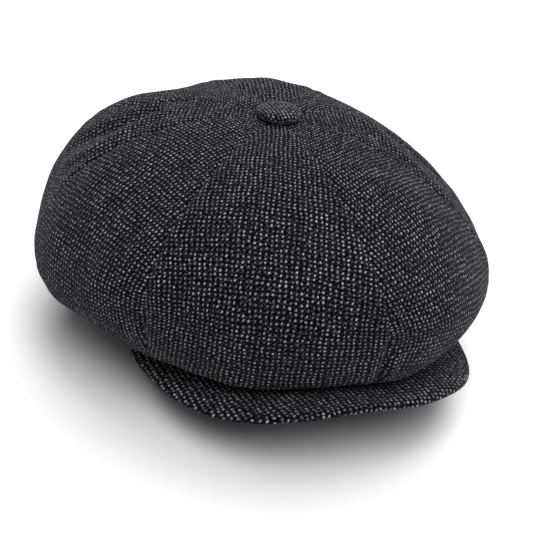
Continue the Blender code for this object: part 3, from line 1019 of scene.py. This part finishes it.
def visor_middle(share, depth):
    """The middle surface of the visor: share -1 to 1 from side to side, depth 0 root to 1 edge."""
    angle = math.radians(VISOR_SWEEP) * share
    root = oval(angle, HEM_OUTSIDE + VISOR_ROOT_GAP, hem_height(angle) + VISOR_ROOT_Z)
    turn = math.radians(VISOR_EDGE_SWEEP) * share
    sine, cosine = np.sin(turn), np.cos(turn)
    reach = (np.abs(sine) ** VISOR_POWER + cosine**VISOR_POWER) ** (-1 / VISOR_POWER)
    across = VISOR_HALF_WIDTH * sine * reach
    along = VISOR_BACK_Y + (VISOR_FRONT_Y - VISOR_BACK_Y) * cosine * reach
    height = VISOR_EDGE_Z + VISOR_RISE * (1 - (across / VISOR_HALF_WIDTH) ** 2)
    point = lerp(root, points_of(across, along, height), depth)
    point[..., 2] += VISOR_CROWN * 4 * depth * (1 - depth) * (1 - share**2)
    point[..., 2] -= visor_droop(share, depth)
    return point


def visor_frame(share, depth):
    """Points of the middle surface, directions out of its edge, and upward normals."""
    step = 0.01
    inner = np.clip(share, -1 + step, 1 - step)
    near, far = np.maximum(depth - step, 0.0), np.minimum(depth + step, 1.0)
    slope = visor_middle(inner, far) - visor_middle(inner, near)
    sideways = visor_middle(inner + step, depth) - visor_middle(inner - step, depth)
    up = np.cross(sideways, slope)
    up /= np.linalg.norm(up, axis=-1, keepdims=True)
    up *= np.sign(up[..., 2:])
    full = np.ones_like(depth)
    edge = visor_middle(inner + step, full) - visor_middle(inner - step, full)
    outwards = np.cross(edge, up)
    outwards /= np.linalg.norm(outwards, axis=-1, keepdims=True)
    return visor_middle(share, depth), outwards, up


def visor_grid(rows, columns):
    depth, share = np.meshgrid(
        np.linspace(0.0, 1.0, rows), np.linspace(-1.0, 1.0, columns), indexing="ij"
    )
    return share, depth


def visor_top_grid():
    """The visor's top cloth, from its root to the edge and round it."""
    share, depth = visor_grid(VISOR_TOP_ROWS, VISOR_COLUMNS)
    point, outwards, up = visor_frame(share, depth)
    layer = VISOR_LAYER + VISOR_CLOTH / 2
    skin = point + up * layer
    curl_rows = []
    for step in range(1, VISOR_CURL_ROWS + 1):
        curl = math.radians(VISOR_CURL) * step / VISOR_CURL_ROWS
        lift = layer * math.cos(curl)
        curl_rows.append(point[-1] + up[-1] * lift + outwards[-1] * (layer * math.sin(curl)))
    return np.concatenate([skin, np.stack(curl_rows)])


def visor_under_grid():
    """The visor's under cloth, which reaches out a little to the curl of the top cloth."""
    share, depth = visor_grid(VISOR_UNDER_ROWS, VISOR_COLUMNS)
    point, outwards, up = visor_frame(share, depth)
    layer = VISOR_LAYER + VISOR_CLOTH / 2
    lip = VISOR_LIP * smoothstep(0.93, 1.0, depth)[..., None]
    skin = point - up * layer + outwards * lip
    return skin[:, ::-1]


def plan_flat(grid):
    """Flat coordinates of the visor's cloth: its plan, and past the edge its length round the curl."""
    steps = np.linalg.norm(np.diff(grid, axis=0), axis=2)
    plan = np.linalg.norm(np.diff(grid[..., :2], axis=0), axis=2)
    stretch = np.concatenate([np.zeros((1, grid.shape[1])), np.cumsum(steps - plan, axis=0)])
    outwards = grid[-14, :, :2] - grid[-20, :, :2]
    outwards /= np.linalg.norm(outwards, axis=1, keepdims=True)
    return grid[..., :2] + outwards[None] * stretch[..., None]


def add_visor(materials):
    pieces = (
        ("visor_top_covering", "visor_top_cloth", visor_top_grid()),
        ("visor_under_covering", "visor_under_cloth", visor_under_grid()),
    )
    for name, node, grid in pieces:
        flat = plan_flat(grid)
        # The visor's cloth uses the tweed copy with painted light: bigger, paler specks.
        obj = add_shell(name, grid, flat, VISOR_CLOTH, materials["visor_tweed_painted_lighter"])
        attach(obj, "visor")
        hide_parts(node)

    share, depth = visor_grid(BOARD_ROWS, BOARD_COLUMNS)
    share = np.clip(share, -BOARD_SIDE, BOARD_SIDE)
    point, _, up = visor_frame(share, BOARD_START + (1 - BOARD_START) * depth)
    grid = point + up * (BOARD / 2)
    board = add_shell("visor_stiffener", grid, grid[..., :2], BOARD, materials["board"])
    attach(board, "visor")
    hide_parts("visor_board")


# ---------------------------------------------------------------- button

def add_button(materials):
    """The covered button: a domed cap of tweed, gathered under its rim."""
    low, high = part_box("button_cover")
    centre = (low + high) / 2
    radius = (high.x - low.x) / 2
    base, top = low.z, high.z
    profile = []
    for step in range(BUTTON_TOP_ROWS + 1):
        down, up = rounded(np.array(step / BUTTON_TOP_ROWS), BUTTON_POWER)
        height = base + BUTTON_SHOULDER + (top - base - BUTTON_SHOULDER) * float(up)
        profile.append((max(float(radius * down), 0.00002), height))
    for step in range(1, BUTTON_CURL_ROWS + 1):
        bend = math.pi / 2 * step / BUTTON_CURL_ROWS
        height = base + BUTTON_SHOULDER - BUTTON_CURL_DROP * math.sin(bend)
        profile.append((radius - BUTTON_CURL + BUTTON_CURL * math.cos(bend), height))
    profile += [(radius - inside, base - below) for inside, below in BUTTON_FOOT]

    angle = np.linspace(0, 2 * math.pi, BUTTON_COLUMNS + 1)[:-1]
    rings = []
    flats = []
    reached = 0.0
    for i, (reach, height) in enumerate(profile):
        if i:
            reached += math.dist(profile[i - 1], (reach, height))
        gather = smoothstep(0.6, 1.0, np.array(i / (len(profile) - 1)))
        pleats = np.sin(angle * BUTTON_PLEATS + 1.1 * np.sin(angle * 3))
        pleats = BUTTON_PLEAT_DEPTH * gather * pleats
        lump = BUTTON_LUMP * np.sin(angle * 2 + 0.6) * smoothstep(0.3, 0.8, np.array(reach / radius))
        out = np.maximum(reach + pleats + lump, 0.00001)
        across, along = centre.x + out * np.sin(angle), centre.y - out * np.cos(angle)
        rings.append(points_of(across, along, height))
        flats.append(np.stack([reached * np.sin(angle), -reached * np.cos(angle)], axis=-1))
    grid, flat = np.stack(rings), np.stack(flats)
    # The button's cloth is the tweed copy with bigger specks, painted lighter.
    cloth = materials["button_tweed_painted_lighter"]
    obj = add_shell("button_covering", grid, flat, BUTTON_CLOTH, cloth, closed=True)
    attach(obj, "root")
    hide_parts("button_cover")


# ---------------------------------------------------------------- stage

def add_camera():
    azimuth, elevation = math.radians(CAMERA_AZIMUTH), math.radians(CAMERA_ELEVATION)
    back = Vector((
        math.sin(azimuth) * math.cos(elevation), -math.cos(azimuth) * math.cos(elevation),
        math.sin(elevation),
    ))
    data = bpy.data.cameras.new("camera")
    data.lens = CAMERA_LENS
    data.sensor_width = 36.0
    camera = bpy.data.objects.new("camera", data)
    camera.location = CAMERA_PIVOT + back * CAMERA_DISTANCE
    camera.rotation_mode = "QUATERNION"
    level = (CAMERA_AIM - camera.location).to_track_quat("-Z", "Y")
    camera.rotation_quaternion = level @ Quaternion((0, 0, 1), math.radians(CAMERA_ROLL))
    bpy.context.scene.collection.objects.link(camera)
    bpy.context.scene.camera = camera


def add_sun(name, towards, strength, spread, colour):
    data = bpy.data.lights.new(name, "SUN")
    data.energy = strength
    data.angle = math.radians(spread)
    data.color = colour
    light = bpy.data.objects.new(name, data)
    light.rotation_mode = "QUATERNION"
    light.rotation_quaternion = Vector(towards).to_track_quat("Z", "Y")
    bpy.context.scene.collection.objects.link(light)


def add_stage():
    mesh = bpy.data.meshes.new("floor")
    signs = ((-1, -1), (1, -1), (1, 1), (-1, 1))
    corners = [(x * FLOOR_HALF, y * FLOOR_HALF, FLOOR_Z) for x, y in signs]
    mesh.from_pydata(corners, [], [(0, 1, 2, 3)])
    mesh.materials.append(floor_paper())
    floor = bpy.data.objects.new("floor", mesh)
    bpy.context.scene.collection.objects.link(floor)

    for sun in SUNS:
        add_sun(*sun)
    world = bpy.data.worlds.new("studio")
    world.use_nodes = True
    sky = world.node_tree.nodes["Background"]
    sky.inputs["Color"].default_value = SKY_COLOUR
    sky.inputs["Strength"].default_value = SKY_STRENGTH
    bpy.context.scene.world = world
    bpy.context.scene.view_settings.view_transform = "Standard"


def main():
    add_camera()
    add_stage()
    materials = {
        "tweed": tweed("tweed_cloth", WEAVE_PITCH),
        # Painted light: the visor's copy of the tweed has bigger, paler specks, so the visor under the
        # crown's overhang looks more brightly lit.
        "visor_tweed_painted_lighter": tweed("tweed_on_visor_painted_lighter", WEAVE_PITCH, speck_size=1.12, painted_light_factor=1.2),
        # Painted light: the button's copy has bigger specks, so its top looks lighter, as if more brightly
        # lit; its finer weave and stronger sheen are real.
        "button_tweed_painted_lighter": tweed("tweed_on_button_painted_lighter", BUTTON_WEAVE_PITCH, speck_size=1.25, sheen=0.2),
        "satin": satin(),
        "cotton": ribbed_cotton(),
        "fusing": fibrous("fusing_felt", (0.42, 0.41, 0.38, 1), (0.62, 0.61, 0.57, 1), 900.0),
        "board": fibrous("pulp_board", (0.55, 0.53, 0.48, 1), (0.78, 0.76, 0.70, 1), 500.0),
        "steel": brushed_steel(),
        "lint": loose_wool(),
        "thread": thread(),
    }
    crown = add_gores("crown_gore", crown_gore, CLOTH, materials["tweed"])
    skins = [(grid[:SKIN_ROWS], normals_of(grid)[:SKIN_ROWS]) for grid in crown]
    wool = materials["lint"]
    crown_fuzz = add_lint("crown_fuzz", skins, count=2600, seed=11, material=wool, **FUZZ)
    crown_lint = add_lint("crown_lint", skins, count=260, seed=12, material=wool, **LINT)
    for obj in (crown_fuzz, crown_lint):
        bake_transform(obj)
    visor_top = visor_top_grid()
    visor_skin = [(visor_top, normals_of(visor_top))]
    visor_fuzz = add_lint("visor_fuzz", visor_skin, count=420, seed=13, material=wool, **FUZZ)
    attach(visor_fuzz, "visor")
    add_gores("lining_gore", lining_gore, LINING, materials["satin"])
    add_bands(materials)
    add_visor(materials)
    add_button(materials)
    for node in ("button_shell", "button_tack", "button_washer"):
        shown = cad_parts[node]
        for place in range(len(shown.data.materials)):
            shown.data.materials[place] = materials["steel"]


main()
